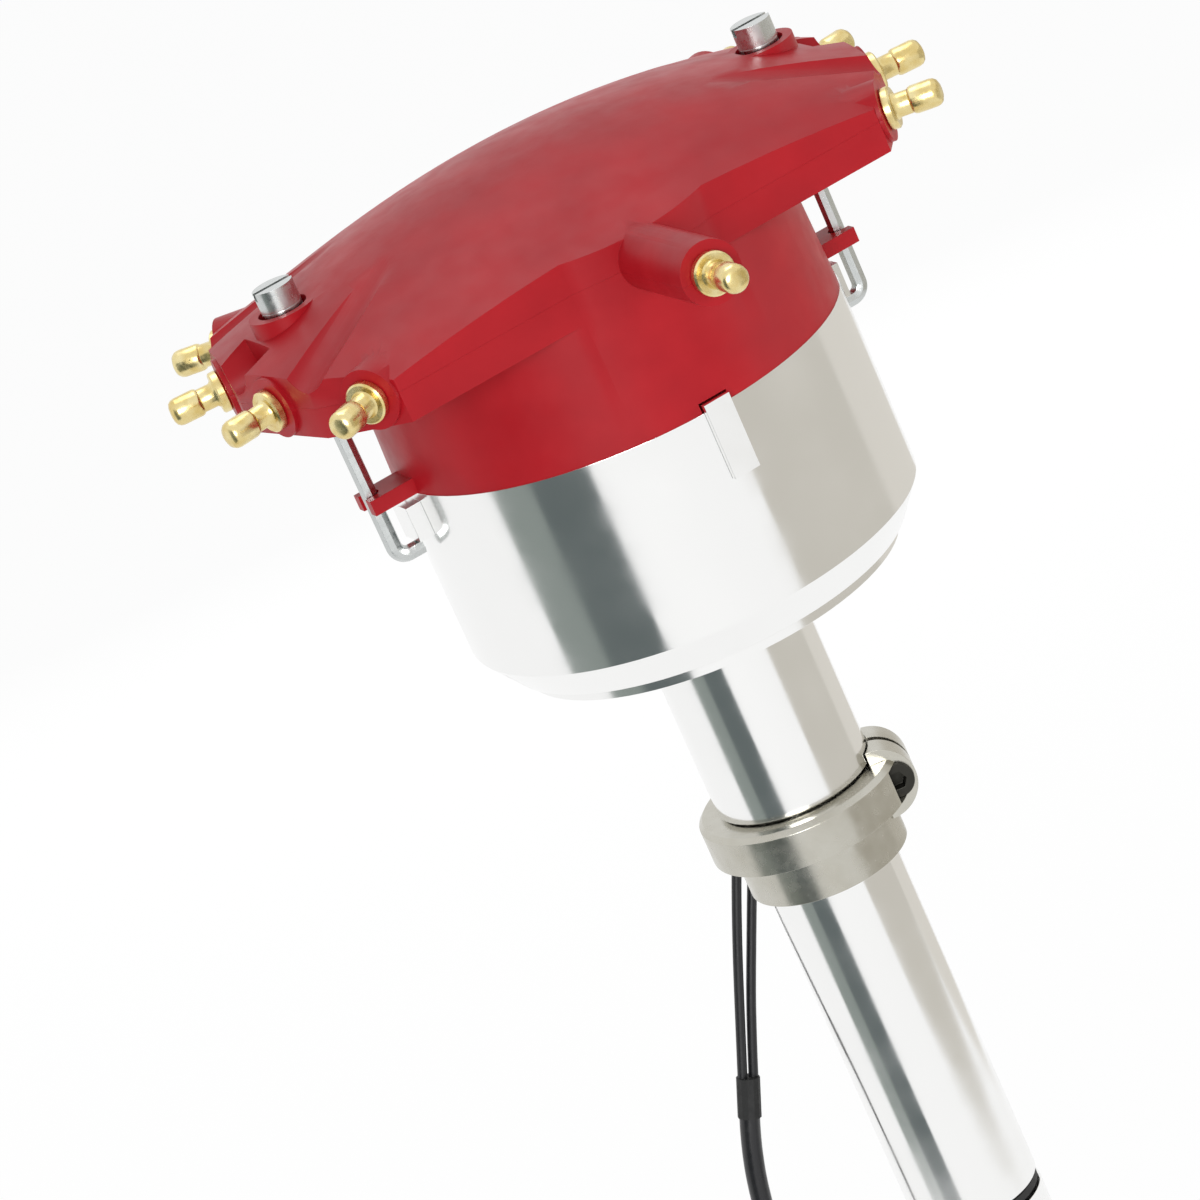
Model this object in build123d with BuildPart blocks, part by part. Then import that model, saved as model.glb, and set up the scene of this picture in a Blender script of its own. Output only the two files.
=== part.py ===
from build123d import *
import os
from math import cos, sin, tan, radians, pi

os.makedirs("parts", exist_ok=True)

# Ignition distributor for a V8 engine, in millimetres.
# The origin is on the shaft axis at the slip collar's seat, +Z runs up the shaft to the cap,
# +X runs along the right wing of the cap and the coil terminal points to -Y.

# ---- housing: bowl, neck and barrel -------------------------------------------------
seam_z = 129.5              # seam between bowl and cap, above the collar's seat
bowl_r = 54.6
bowl_wall = 3.2
bowl_wall_height = 46.0     # straight wall below the seam
bowl_chamfer_height = 8.5
bowl_chamfer_width = 6.1
foot_r = 46.0               # shallow step under the chamfer
foot_height = 3.0
floor_depth = 48.0          # inside floor of the bowl, below the seam
neck_r = 19.05
neck_blend = 5.0
barrel_r = 15.875
barrel_bottom_z = -130.0
bore_r = 9.525
slide_gap = 0.3             # gap between faces that move against each other
through = 60.0              # cutters this long pass right through a moulding
through_all = 600.0         # and this long through the whole distributor
run_gap = 0.05              # radial clearance of a running fit

# ---- slip collar ---------------------------------------------------------------------
collar_top_z = 21.0
flange_r = 24.4
flange_bottom_z = 11.2
hub_r = 19.5
clamp_angle = -20.0
clamp_boss_r = 8.8
clamp_boss_reach = 18.0     # boss centre from the axis
clamp_boss_z = 15.5
clamp_boss_width = 16.0
clamp_slot = 2.0
clamp_screw_r = 2.4
clamp_head_r = 4.2
clamp_head_height = 4.6
clamp_recess = 3.4
clamp_hex_r = 2.3
clamp_hex_depth = 2.6
clamp_screw_offset = 3.9    # screw from the boss centre, away from the bore

# ---- cap -----------------------------------------------------------------------------
cap_skirt_inset = 0.3       # the cap's skirt and drum inside the bowl's outside
cap_drum_inset = 1.4
cap_wall = 3.4
wing_facet_reach = 79.0     # terminal facets from the axis
wing_half_width = 50.0
terminal_rise = 36.1        # terminal centreline above the seam
tower_r = 7.1
tower_proud = 1.0
crown_rise = 58.5           # centre of the crown above the seam
crown_edge_rise = 46.0
crown_edge_y = 45.0
crown_fall = 9.5            # drop of the crown's middle at the latch screws
crown_edge_fall = 4.8
terminal_count = 8
terminal_pitch = 22.5
coil_tower_reach = 84.0
shell_wall = 4.0

# ---- terminals ------------------------------------------------------------------------
shank_r = 1.9
shank_inner_reach = 60.0
ring_r = 4.8
ring_width = 2.2
tip_r = 3.175
tip_length = 13.0           # tip beyond the tower's face
tip_barrel = 6.5
tip_nose = 1.8
tip_taper = 35.0
strip_thickness = 1.2
strip_width = 5.0
electrode_r = 2.8
electrode_gap = 0.7         # spark gap from the rotor's blade
electrode_stem_r = 2.0
electrode_bottom_rise = 13.0

# ---- latch screws ----------------------------------------------------------------------
latch_reach = 8.4           # latch screw's axis outside the bowl
rod_r = 1.9
latch_head_r = 4.7
latch_head_height = 5.0
latch_slot_width = 1.6
latch_slot_depth = 1.8
latch_bend_r = 3.0
latch_pad_rise = 50.4
latch_bore_r = 5.7
latch_bore_depth = 13.6
latch_travel = 3.0
latch_lug_proud = 3.6
latch_lug_top = 2.0         # below the seam
latch_lug_bottom = 10.5
latch_foot_gap = 2.3        # end of the hook from the bowl
latch_spring_wire = 0.9

# ---- shaft, gear and bearings -----------------------------------------------------------
shaft_r = 6.35
shaft_bottom_z = -172.0
shaft_top_drop = 9.0        # top of the shaft below the seam
gear_r = 15.6
gear_teeth = 13
gear_tooth_length = 23.2
gear_length = 32.0
gear_hub_r = 11.0
gear_twist = 60.0
gear_pin_r = 2.38
tang_slot_width = 4.8
tang_slot_depth = 12.0
washer_thickness = 1.5
bearing_r = 14.29
bearing_height = 7.9
bushing_length = 38.0

# ---- advance mechanism and rotor ----------------------------------------------------------
sleeve_r = 9.5
advance_plate_r = 34.0
advance_plate_thickness = 3.0
advance_plate_drop = 20.0   # underside of the plate below the seam
pivot_reach = 24.0
pivot_r = 2.5
weight_thickness = 6.0
weight_inner_r = 19.0
weight_outer_r = 31.0
weight_sweep = 135.0
spring_pin_proud = 1.5      # pins above the springs
clip_r = 4.2
cam_hub_r = 9.4
eye_wall = 0.8
cam_lobe_reach = 12.5
cam_lobe_r = 5.0
cam_angle = 100.0
rotor_post_reach = 29.0
rotor_post_angle = 70.0
rotor_r = 33.0
rotor_angle = 22.5
blade_reach = 36.5
reluctor_r = 20.0
reluctor_teeth = 8
pickup_screw_inset = 5.0
pickup_screw_r = 3.0
pickup_screw_height = 2.0
lead_window = 14.0
magnet_depth = 8.0
magnet_width = 16.0
magnet_proud = 5.0          # magnet above the coil's axis
coil_r = 7.0
coil_inset = 3.0            # coil from the core's nose

# ---- lead --------------------------------------------------------------------------------
lead_x = 24.0
lead_y = 32.0
wire_r = 1.2
sleeve_tube_r = 2.5
boot_r = 2.9
boot_length = 10.0
connector_width = 12.0
connector_depth = 8.0
connector_length = 22.0
connector_neck = 5.0        # round neck between the sleeve and the shell
connector_corner_r = 2.0

# ---- worked-out heights and reaches --------------------------------------------------------
cap_skirt_r = bowl_r - cap_skirt_inset
cap_drum_r = bowl_r - cap_drum_inset
latch_x = bowl_r + latch_reach
latch_lug_out = bowl_r + latch_lug_proud
latch_foot_reach = bowl_r + latch_foot_gap
electrode_reach = blade_reach + electrode_r + electrode_gap
floor_z = seam_z - floor_depth
foot_z = seam_z - bowl_wall_height - bowl_chamfer_height - foot_height
neck_end_z = collar_top_z + slide_gap
terminal_z = seam_z + terminal_rise
wing_bottom_z = terminal_z - tower_r
deck_z = terminal_z - shank_r - strip_thickness
cavity_r = bowl_r - bowl_wall
bearing_bottom_z = floor_z - bearing_height
wing_angles = [-1.5 * terminal_pitch, -0.5 * terminal_pitch, 0.5 * terminal_pitch, 1.5 * terminal_pitch]
plug_angles = wing_angles + [180 + a for a in wing_angles]
tower_face = wing_facet_reach + tower_proud


def polar(reach, angle):
    return (reach * cos(radians(angle)), reach * sin(radians(angle)))


def radial_plane(angle, z):
    """Upright plane through the axis: local x runs outward, local y runs up."""
    return Plane(
        origin=(0, 0, z),
        x_dir=(cos(radians(angle)), sin(radians(angle)), 0),
        z_dir=(sin(radians(angle)), -cos(radians(angle)), 0),
    )


def outward_plane(angle, reach, z):
    """Plane that faces outward at a given reach from the axis."""
    x, y = polar(reach, angle)
    return Plane(origin=(x, y, z), z_dir=(cos(radians(angle)), sin(radians(angle)), 0))


# ======================================================================================
# Housing: turned from billet, with latch lugs, a locating key and a lead hole
# ======================================================================================
o_ring_r = 1.3
o_ring_z = barrel_bottom_z + 36
key_width = 6.5
key_height = 16.0
key_proud = 1.5
grommet_hole_r = 4.6
cap_spigot_r = cavity_r - slide_gap

with BuildPart() as housing:
    with BuildSketch(Plane.XZ):
        with BuildLine():
            Polyline(
                (0, barrel_bottom_z),
                (barrel_r - 1.5, barrel_bottom_z),
                (barrel_r, barrel_bottom_z + 1.5),
                (barrel_r, neck_end_z),
                (neck_r - 0.8, neck_end_z),
                (neck_r, neck_end_z + 0.8),
                (neck_r, foot_z - neck_blend),
                (neck_r + neck_blend, foot_z),
                (foot_r, foot_z),
                (foot_r, foot_z + foot_height),
                (bowl_r - bowl_chamfer_width, foot_z + foot_height),
                (bowl_r, seam_z - bowl_wall_height),
                (bowl_r, seam_z),
                (0, seam_z),
                close=True,
            )
        make_face()
    revolve(axis=Axis.Z)
    for side in (-1, 1):
        with BuildSketch(Plane.XY.offset(seam_z - latch_lug_bottom)):
            with Locations((side * (bowl_r + latch_lug_out) / 2 - side, 0)):
                Rectangle(latch_lug_out - bowl_r + 2, 9.0)
        extrude(amount=latch_lug_bottom - latch_lug_top)
    with BuildSketch(Plane.XY.offset(seam_z - key_height)):
        with Locations((0, -bowl_r)):
            Rectangle(key_width, 2 * key_proud)
    extrude(amount=key_height + 2)
    with BuildSketch(Plane.XZ):
        with BuildLine():
            Polyline(
                (0, floor_z),
                (cavity_r - 5, floor_z),
                (cavity_r, floor_z + 7),
                (cavity_r, seam_z + 3),
                (0, seam_z + 3),
                close=True,
            )
        make_face()
    revolve(axis=Axis.Z, mode=Mode.SUBTRACT)
    with Locations((0, 0, bearing_bottom_z)):
        Cylinder(bearing_r, bearing_height + 1, align=(Align.CENTER, Align.CENTER, Align.MIN), mode=Mode.SUBTRACT)
    with Locations((0, 0, barrel_bottom_z)):
        Cylinder(bore_r, through_all, align=(Align.CENTER, Align.CENTER, Align.MIN), mode=Mode.SUBTRACT)
    with Locations((lead_x, lead_y, foot_z)):
        Cylinder(grommet_hole_r, through, mode=Mode.SUBTRACT)
    with BuildSketch(Plane.XZ):
        with Locations((barrel_r, o_ring_z)):
            Rectangle(4 * o_ring_r + 0.4, 2 * o_ring_r + 0.6)
    revolve(axis=Axis.Z, mode=Mode.SUBTRACT)
housing.part.label = "housing"
export_step(housing.part, "parts/housing.step")

with BuildPart() as o_ring:
    with BuildSketch(Plane.XZ):
        with Locations((barrel_r - o_ring_r - 0.1, o_ring_z)):
            RegularPolygon(o_ring_r, 4, rotation=45)
    revolve(axis=Axis.Z)
o_ring.part.label = "o_ring"
export_step(o_ring.part, "parts/o_ring.step")

# ======================================================================================
# Slip collar: split clamp ring that slides on the barrel, with its pinch screw
# ======================================================================================
clamp_plane = Plane(
    origin=(*polar(clamp_boss_reach, clamp_angle), clamp_boss_z),
    z_dir=(-sin(radians(clamp_angle)), cos(radians(clamp_angle)), 0),
)
clamp_slot_plane = Plane.XY.rotated((0, 0, clamp_angle))

with BuildPart() as slip_collar:
    with BuildSketch(Plane.XZ):
        with BuildLine():
            Polyline(
                (0, 0),
                (hub_r, 0),
                (hub_r, flange_bottom_z),
                (flange_r, flange_bottom_z),
                (flange_r, collar_top_z - 1.2),
                (flange_r - 1.2, collar_top_z),
                (0, collar_top_z),
                close=True,
            )
        make_face()
    revolve(axis=Axis.Z)
    with BuildSketch(clamp_plane):
        Circle(clamp_boss_r)
    extrude(amount=clamp_boss_width / 2, both=True)
    with Locations((0, 0, collar_top_z)):
        Cylinder(neck_r + slide_gap, 20, align=(Align.CENTER, Align.CENTER, Align.MIN), mode=Mode.SUBTRACT)
    Cylinder(barrel_r + run_gap, through_all, mode=Mode.SUBTRACT)
    with BuildSketch(clamp_slot_plane):
        with Locations((clamp_boss_reach + 4, 0)):
            Rectangle(2 * clamp_boss_r + 6, clamp_slot)
    extrude(amount=through, both=True, mode=Mode.SUBTRACT)
    with BuildSketch(clamp_plane.offset(-clamp_boss_width / 2)):
        with Locations((clamp_screw_offset, 0)):
            Circle(clamp_screw_r)
    extrude(amount=clamp_boss_width, mode=Mode.SUBTRACT)
    with BuildSketch(clamp_plane.offset(-clamp_boss_width / 2 - clamp_head_height)):
        with Locations((clamp_screw_offset, 0)):
            Circle(clamp_head_r)
    extrude(amount=clamp_head_height + clamp_recess, mode=Mode.SUBTRACT)
slip_collar.part.label = "slip_collar"
export_step(slip_collar.part, "parts/slip_collar.step")

with BuildPart() as collar_screw:
    with BuildSketch(clamp_plane.offset(-clamp_boss_width / 2 + clamp_recess)):
        with Locations((clamp_screw_offset, 0)):
            Circle(clamp_head_r)
    extrude(amount=-clamp_head_height)
    with BuildSketch(clamp_plane.offset(-clamp_boss_width / 2 + clamp_recess)):
        with Locations((clamp_screw_offset, 0)):
            Circle(clamp_screw_r)
    extrude(amount=clamp_boss_width - clamp_recess)
    with BuildSketch(clamp_plane.offset(-clamp_boss_width / 2 + clamp_recess - clamp_head_height)):
        with Locations((clamp_screw_offset, 0)):
            RegularPolygon(clamp_hex_r, 6)
    extrude(amount=clamp_hex_depth, mode=Mode.SUBTRACT)
collar_screw.part.label = "collar_screw"
export_step(collar_screw.part, "parts/collar_screw.step")

# ======================================================================================
# Cap: two red mouldings that meet on the terminals' centreline
# ======================================================================================
saddle_reach = 66.0         # solid wing ends beyond this reach hold the terminals
latch_block_width = 17.0
ear_half_width = 5.0
ear_height = 3.6
spigot_depth = 2.5
spigot_wall = 2.4
brush_r = 2.4
brush_guide_r = 5.0
brush_guide_drop = 6.0
cap_cavity_r = cavity_r - slide_gap - spigot_wall
coil_shank_reach = 41.0


def cap_outline(inset):
    """Plan of the cap: a round drum with two wings whose ends face each terminal."""
    RegularPolygon(wing_facet_reach - inset, 16, major_radius=False)
    Rectangle(4 * wing_facet_reach, 2 * (wing_half_width - inset), mode=Mode.INTERSECT)
    Circle(cap_drum_r - inset)


def cap_pocket():
    """Plan of the hollow between the two mouldings, clear of the latch blocks."""
    RegularPolygon(saddle_reach, 16, major_radius=False)
    Rectangle(4 * saddle_reach, 2 * (wing_half_width - shell_wall), mode=Mode.INTERSECT)
    with Locations((latch_x + 2, 0), (-latch_x - 2, 0)):
        Rectangle(latch_block_width + 4, latch_block_width, mode=Mode.SUBTRACT)


tower_planes = [outward_plane(angle, tower_face, terminal_z) for angle in plug_angles]
seat_planes = [outward_plane(angle, tower_face + 1, terminal_z) for angle in plug_angles]
coil_plane = outward_plane(-90, coil_tower_reach, terminal_z)

with BuildPart() as tower_set:
    with BuildSketch(*tower_planes):
        Circle(tower_r)
    extrude(amount=-22)
    with BuildSketch(coil_plane):
        Circle(tower_r)
    extrude(amount=-(coil_tower_reach - cap_drum_r + 6))

# hexagonal seats with a flat below, so that each terminal's shank lies flat on its strip
with BuildPart() as terminal_seats:
    with BuildSketch(*seat_planes):
        RegularPolygon(shank_r, 6, major_radius=False)
    extrude(amount=-(tower_face + 1 - shank_inner_reach))
    with BuildSketch(coil_plane.offset(1)):
        RegularPolygon(shank_r, 6, major_radius=False)
    extrude(amount=-(coil_tower_reach + 1 - coil_shank_reach))

with BuildPart() as cap_base:
    with BuildSketch(Plane.XY.offset(wing_bottom_z)):
        cap_outline(0)
    extrude(amount=tower_r)
    add(tower_set.part)
    split(bisect_by=Plane.XY.offset(terminal_z), keep=Keep.BOTTOM)
    with BuildSketch(Plane.XZ):
        with BuildLine():
            Polyline(
                (cap_cavity_r, seam_z),
                (cap_skirt_r, seam_z),
                (cap_drum_r, wing_bottom_z),
                (cap_cavity_r, wing_bottom_z),
                close=True,
            )
        make_face()
        with Locations((cap_cavity_r + spigot_wall / 2, seam_z)):
            Rectangle(spigot_wall, 2 * spigot_depth)
    revolve(axis=Axis.Z)
    for side in (-1, 1):
        with BuildSketch(Plane.XY.offset(seam_z)):
            with Locations((side * (cap_skirt_r + latch_x) / 2, 0)):
                Rectangle(latch_x - cap_skirt_r + 4, 2 * ear_half_width)
            with Locations((side * (latch_x + 3), 0)):
                Rectangle(8, 2 * (rod_r + slide_gap), mode=Mode.SUBTRACT)
            with Locations((side * latch_x, 0)):
                Circle(rod_r + slide_gap, mode=Mode.SUBTRACT)
        extrude(amount=ear_height)
    with Locations((0, 0, wing_bottom_z - brush_guide_drop)):
        Cylinder(brush_guide_r, brush_guide_drop + 1, align=(Align.CENTER, Align.CENTER, Align.MIN))
    with BuildSketch(Plane.XY.offset(deck_z)):
        cap_pocket()
    extrude(amount=20, mode=Mode.SUBTRACT)
    add(terminal_seats.part, mode=Mode.SUBTRACT)
    with Locations((latch_x, 0, wing_bottom_z), (-latch_x, 0, wing_bottom_z)):
        Cylinder(rod_r + slide_gap, through, mode=Mode.SUBTRACT)
    with Locations((0, 0, deck_z)):
        Cylinder(brush_r + run_gap, through, mode=Mode.SUBTRACT)
    with BuildSketch(Plane.XY.offset(wing_bottom_z - 1)):
        with PolarLocations(electrode_reach, terminal_count, start_angle=terminal_pitch):
            RegularPolygon(electrode_stem_r, 6)
    extrude(amount=20, mode=Mode.SUBTRACT)
    with BuildSketch(Plane.XY.offset(seam_z - 1)):
        with Locations((0, -bowl_r)):
            Rectangle(key_width + 2 * slide_gap, 2 * (key_proud + 1.2))
    extrude(amount=2 + 1 + slide_gap, mode=Mode.SUBTRACT)
cap_base.part.label = "cap_base"
export_step(cap_base.part, "parts/cap_base.step")

crown_stations = (-84.0, -42.0, 0.0, 42.0, 84.0)
crown_brow = 13.0           # the crown's sloping border beyond its edge
crown_brow_drop = 6.0


def crown_rises(x, skin):
    """Heights of the crown's middle and edge at one station along the wings."""
    share = (x / latch_x) ** 2
    middle = seam_z + crown_rise - crown_fall * share - skin
    edge = seam_z + crown_edge_rise - crown_edge_fall * share - skin
    return middle, edge


groove_r = 8.0
groove_angles = (-22.5, 22.5, 157.5, 202.5)
groove_outer_rise = 2.5
groove_inner_rise = 18.5
groove_inner_reach = 42.0
latch_pad_r = 8.0
end_valley_rise = 2.0        # floor of the valley between the two end towers


def groove_plane(angle):
    """Start of a valley between two towers, aimed up and inward so that it fades out."""
    outer = Vector(*polar(wing_facet_reach + 6, angle), terminal_z + groove_outer_rise + groove_r)
    inner = Vector(*polar(groove_inner_reach, angle), terminal_z + groove_inner_rise + groove_r)
    return Plane(origin=outer, z_dir=inner - outer)


with BuildPart() as cap_cover:
    for x in crown_stations:
        middle, edge = crown_rises(x, 0)
        with BuildSketch(Plane.YZ.offset(x)):
            with BuildLine():
                ThreePointArc((-crown_edge_y, edge), (0, middle), (crown_edge_y, edge))
                Polyline(
                    (crown_edge_y, edge),
                    (crown_edge_y + crown_brow, edge - crown_brow_drop),
                    (crown_edge_y + crown_brow, terminal_z - 12),
                    (-crown_edge_y - crown_brow, terminal_z - 12),
                    (-crown_edge_y - crown_brow, edge - crown_brow_drop),
                    (-crown_edge_y, edge),
                )
            make_face()
    loft()
    with BuildSketch(Plane.XY.offset(terminal_z)):
        cap_outline(0)
    extrude(amount=through, mode=Mode.INTERSECT)
    for angle in groove_angles:
        with BuildSketch(groove_plane(angle)):
            Circle(groove_r)
        extrude(amount=through, mode=Mode.SUBTRACT)
    for side in (-1, 1):
        with BuildSketch(Plane.YZ.offset(side * (latch_x + latch_pad_r + 0.5))):
            with Locations((0, terminal_z + end_valley_rise + groove_r)):
                Circle(groove_r)
                with Locations((0, groove_r)):
                    Rectangle(2 * groove_r, 2 * groove_r)
        extrude(amount=side * 30, mode=Mode.SUBTRACT)
    add(tower_set.part)
    split(bisect_by=Plane.XY.offset(terminal_z), keep=Keep.TOP)
    with Locations((latch_x, 0, terminal_z), (-latch_x, 0, terminal_z)):
        Cylinder(latch_pad_r, seam_z + latch_pad_rise - terminal_z, align=(Align.CENTER, Align.CENTER, Align.MIN))
    add(terminal_seats.part, mode=Mode.SUBTRACT)
    with Locations((latch_x, 0, terminal_z), (-latch_x, 0, terminal_z)):
        Cylinder(rod_r + slide_gap, through, mode=Mode.SUBTRACT)
    with Locations((latch_x, 0, seam_z + latch_pad_rise), (-latch_x, 0, seam_z + latch_pad_rise)):
        Cylinder(latch_bore_r, 2 * latch_bore_depth, mode=Mode.SUBTRACT)
cap_cover.part.label = "cap_cover"
export_step(cap_cover.part, "parts/cap_cover.step")

# ======================================================================================
# Terminals, strips and electrodes: brass, trapped between the mouldings
# ======================================================================================
terminal_sides = 10
terminals = [(f"plug_terminal_{i + 1}", a, tower_face, shank_inner_reach) for i, a in enumerate(plug_angles)]
terminals.append(("coil_terminal", -90, coil_tower_reach, coil_shank_reach))

for name, angle, face, inner_reach in terminals:
    with BuildPart() as terminal:
        with BuildSketch(outward_plane(angle, inner_reach, terminal_z)):
            RegularPolygon(shank_r, 6, major_radius=False)
        extrude(amount=face + tip_length - 2 - inner_reach)
        with BuildSketch(outward_plane(angle, face, terminal_z)):
            RegularPolygon(ring_r, terminal_sides)
        extrude(amount=ring_width)
        with BuildSketch(outward_plane(angle, face + tip_length - tip_barrel, terminal_z)):
            RegularPolygon(tip_r, terminal_sides)
        extrude(amount=tip_barrel - tip_nose)
        with BuildSketch(outward_plane(angle, face + tip_length - tip_nose, terminal_z)):
            RegularPolygon(tip_r, terminal_sides)
        extrude(amount=tip_nose, taper=tip_taper)
    terminal.part.label = name
    export_step(terminal.part, f"parts/{name}.step")

electrode_angles = [-67.5, -22.5, 22.5, 67.5, 112.5, 157.5, 202.5, 247.5]

with BuildPart() as plug_electrodes:
    with BuildSketch(Plane.XY.offset(seam_z + electrode_bottom_rise)):
        with PolarLocations(electrode_reach, terminal_count, start_angle=terminal_pitch):
            RegularPolygon(electrode_r, 6, major_radius=False, rotation=30)
    extrude(amount=wing_bottom_z - seam_z - electrode_bottom_rise)
    with BuildSketch(Plane.XY.offset(wing_bottom_z)):
        with PolarLocations(electrode_reach, terminal_count, start_angle=terminal_pitch):
            RegularPolygon(electrode_stem_r, 6)
    extrude(amount=deck_z - wing_bottom_z)
plug_electrodes.part.label = "plug_electrodes"
export_step(plug_electrodes.part, "parts/plug_electrodes.step")

with BuildPart() as plug_strips:
    for electrode_angle, terminal_angle in zip(electrode_angles, plug_angles):
        start = Vector(*polar(electrode_reach, electrode_angle))
        end = Vector(*polar(shank_inner_reach + strip_width / 2, terminal_angle))
        span = end - start
        middle = (start + end) * 0.5
        with BuildSketch(Plane(origin=(middle.X, middle.Y, deck_z), x_dir=span)):
            Rectangle(span.length + strip_width, strip_width)
        extrude(amount=strip_thickness)
plug_strips.part.label = "plug_strips"
export_step(plug_strips.part, "parts/plug_strips.step")

with BuildPart() as coil_strip:
    with BuildSketch(Plane.XY.offset(deck_z)):
        with Locations((0, -coil_shank_reach / 2)):
            Rectangle(strip_width, coil_shank_reach + 1.5)
    extrude(amount=strip_thickness)
coil_strip.part.label = "coil_strip"
export_step(coil_strip.part, "parts/coil_strip.step")

# ======================================================================================
# Springs: a polygonal wire helix, cheap to mesh
# ======================================================================================


def helix_points(coil_r, height, turns, sides):
    """Points of a helix about +Z, from the origin's plane up."""
    count = turns * sides
    return [
        (coil_r * cos(2 * pi * i / sides), coil_r * sin(2 * pi * i / sides), height * i / count)
        for i in range(count + 1)
    ]


contact_rise = 19.0         # top of the rotor's contact above the seam
brush_rise = contact_rise + slide_gap
brush_top_rise = 28.0

with BuildPart() as carbon_brush:
    with Locations((0, 0, seam_z + brush_rise)):
        Cylinder(brush_r, brush_top_rise - brush_rise, align=(Align.CENTER, Align.CENTER, Align.MIN))
carbon_brush.part.label = "carbon_brush"
export_step(carbon_brush.part, "parts/carbon_brush.step")

brush_wire = 0.5
brush_spring_height = deck_z - seam_z - brush_top_rise - brush_wire

with BuildPart() as brush_spring:
    with BuildLine() as brush_helix:
        Polyline(*[
            (x, y, z + seam_z + brush_top_rise + brush_wire / 2)
            for x, y, z in helix_points(1.6, brush_spring_height, 4, 8)
        ])
    with BuildSketch(Plane(origin=brush_helix.line @ 0, z_dir=brush_helix.line % 0)):
        Rectangle(brush_wire, brush_wire)
    sweep(transition=Transition.RIGHT)
brush_spring.part.label = "brush_spring"
export_step(brush_spring.part, "parts/brush_spring.step")

# ======================================================================================
# Latch screws: press down and turn to free the cap
# ======================================================================================
latch_foot_z = seam_z - latch_lug_bottom - slide_gap - rod_r
washer_z = seam_z + latch_pad_rise - 0.4
latch_washer = 1.0
spring_seat_z = seam_z + latch_pad_rise - latch_bore_depth
latch_spring_r = 4.2

for side, word in ((-1, "left"), (1, "right")):
    with BuildPart() as latch_rod:
        with BuildLine() as rod_line:
            FilletPolyline(
                (side * latch_x, 0, washer_z + latch_washer),
                (side * latch_x, 0, latch_foot_z),
                (side * latch_foot_reach, 0, latch_foot_z),
                radius=latch_bend_r,
            )
        with BuildSketch(Plane(origin=rod_line.line @ 0, z_dir=rod_line.line % 0)):
            RegularPolygon(rod_r, 8)
        sweep()
        with BuildSketch(Plane.XY.offset(washer_z + latch_washer)):
            with Locations((side * latch_x, 0)):
                Circle(latch_head_r)
        extrude(amount=latch_head_height)
        with BuildSketch(Plane.XY.offset(washer_z + latch_washer + latch_head_height)):
            with Locations((side * latch_x, 0)):
                Rectangle(2 * latch_head_r + 1, latch_slot_width)
        extrude(amount=-latch_slot_depth, mode=Mode.SUBTRACT)
    latch_rod.part.label = f"latch_rod_{word}"
    export_step(latch_rod.part, f"parts/latch_rod_{word}.step")

    with BuildPart() as washer:
        with BuildSketch(Plane.XY.offset(washer_z)):
            with Locations((side * latch_x, 0)):
                RegularPolygon(latch_head_r, 16)
                RegularPolygon(rod_r + slide_gap, 8, mode=Mode.SUBTRACT)
        extrude(amount=latch_washer)
    washer.part.label = f"latch_washer_{word}"
    export_step(washer.part, f"parts/latch_washer_{word}.step")

    with BuildPart() as latch_spring:
        with BuildLine() as latch_helix:
            Polyline(*[
                (x + side * latch_x, y, z + spring_seat_z + latch_spring_wire / 2 + 0.1)
                for x, y, z in helix_points(latch_spring_r, washer_z - spring_seat_z - 1.2, 4, 10)
            ])
        with BuildSketch(Plane(origin=latch_helix.line @ 0, z_dir=latch_helix.line % 0)):
            Rectangle(latch_spring_wire, latch_spring_wire)
        sweep(transition=Transition.RIGHT)
    latch_spring.part.label = f"latch_spring_{word}"
    export_step(latch_spring.part, f"parts/latch_spring_{word}.step")

# ======================================================================================
# Shaft, bearings, gear
# ======================================================================================
shaft_top_z = seam_z - shaft_top_drop
gear_top_z = barrel_bottom_z - slide_gap - washer_thickness
gear_pin_z = gear_top_z - gear_tooth_length - (gear_length - gear_tooth_length) / 2

with BuildPart() as shaft:
    with Locations((0, 0, shaft_bottom_z)):
        Cylinder(shaft_r, shaft_top_z - shaft_bottom_z, align=(Align.CENTER, Align.CENTER, Align.MIN))
    with Locations((0, 0, shaft_bottom_z)):
        Box(3 * shaft_r, tang_slot_width, tang_slot_depth, mode=Mode.SUBTRACT)
    with BuildSketch(Plane.YZ):
        with Locations((0, gear_pin_z)):
            Circle(gear_pin_r)
    extrude(amount=20, both=True, mode=Mode.SUBTRACT)
shaft.part.label = "shaft"
export_step(shaft.part, "parts/shaft.step")

race_wall = 2.4

with BuildPart() as upper_bearing_outer:
    with BuildSketch(Plane.XY.offset(bearing_bottom_z)):
        Circle(bearing_r)
        Circle(bearing_r - race_wall, mode=Mode.SUBTRACT)
    extrude(amount=bearing_height)
upper_bearing_outer.part.label = "upper_bearing_outer"
export_step(upper_bearing_outer.part, "parts/upper_bearing_outer.step")

with BuildPart() as upper_bearing_inner:
    with BuildSketch(Plane.XY.offset(bearing_bottom_z)):
        Circle(shaft_r + race_wall)
        Circle(shaft_r, mode=Mode.SUBTRACT)
    extrude(amount=bearing_height)
upper_bearing_inner.part.label = "upper_bearing_inner"
export_step(upper_bearing_inner.part, "parts/upper_bearing_inner.step")

with BuildPart() as upper_bearing_seal:
    with BuildSketch(Plane.XY.offset(floor_z - 1.2)):
        RegularPolygon(bearing_r - race_wall, 16)
        RegularPolygon(shaft_r + race_wall + slide_gap, 16, major_radius=False, mode=Mode.SUBTRACT)
    extrude(amount=0.8)
upper_bearing_seal.part.label = "upper_bearing_seal"
export_step(upper_bearing_seal.part, "parts/upper_bearing_seal.step")

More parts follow.
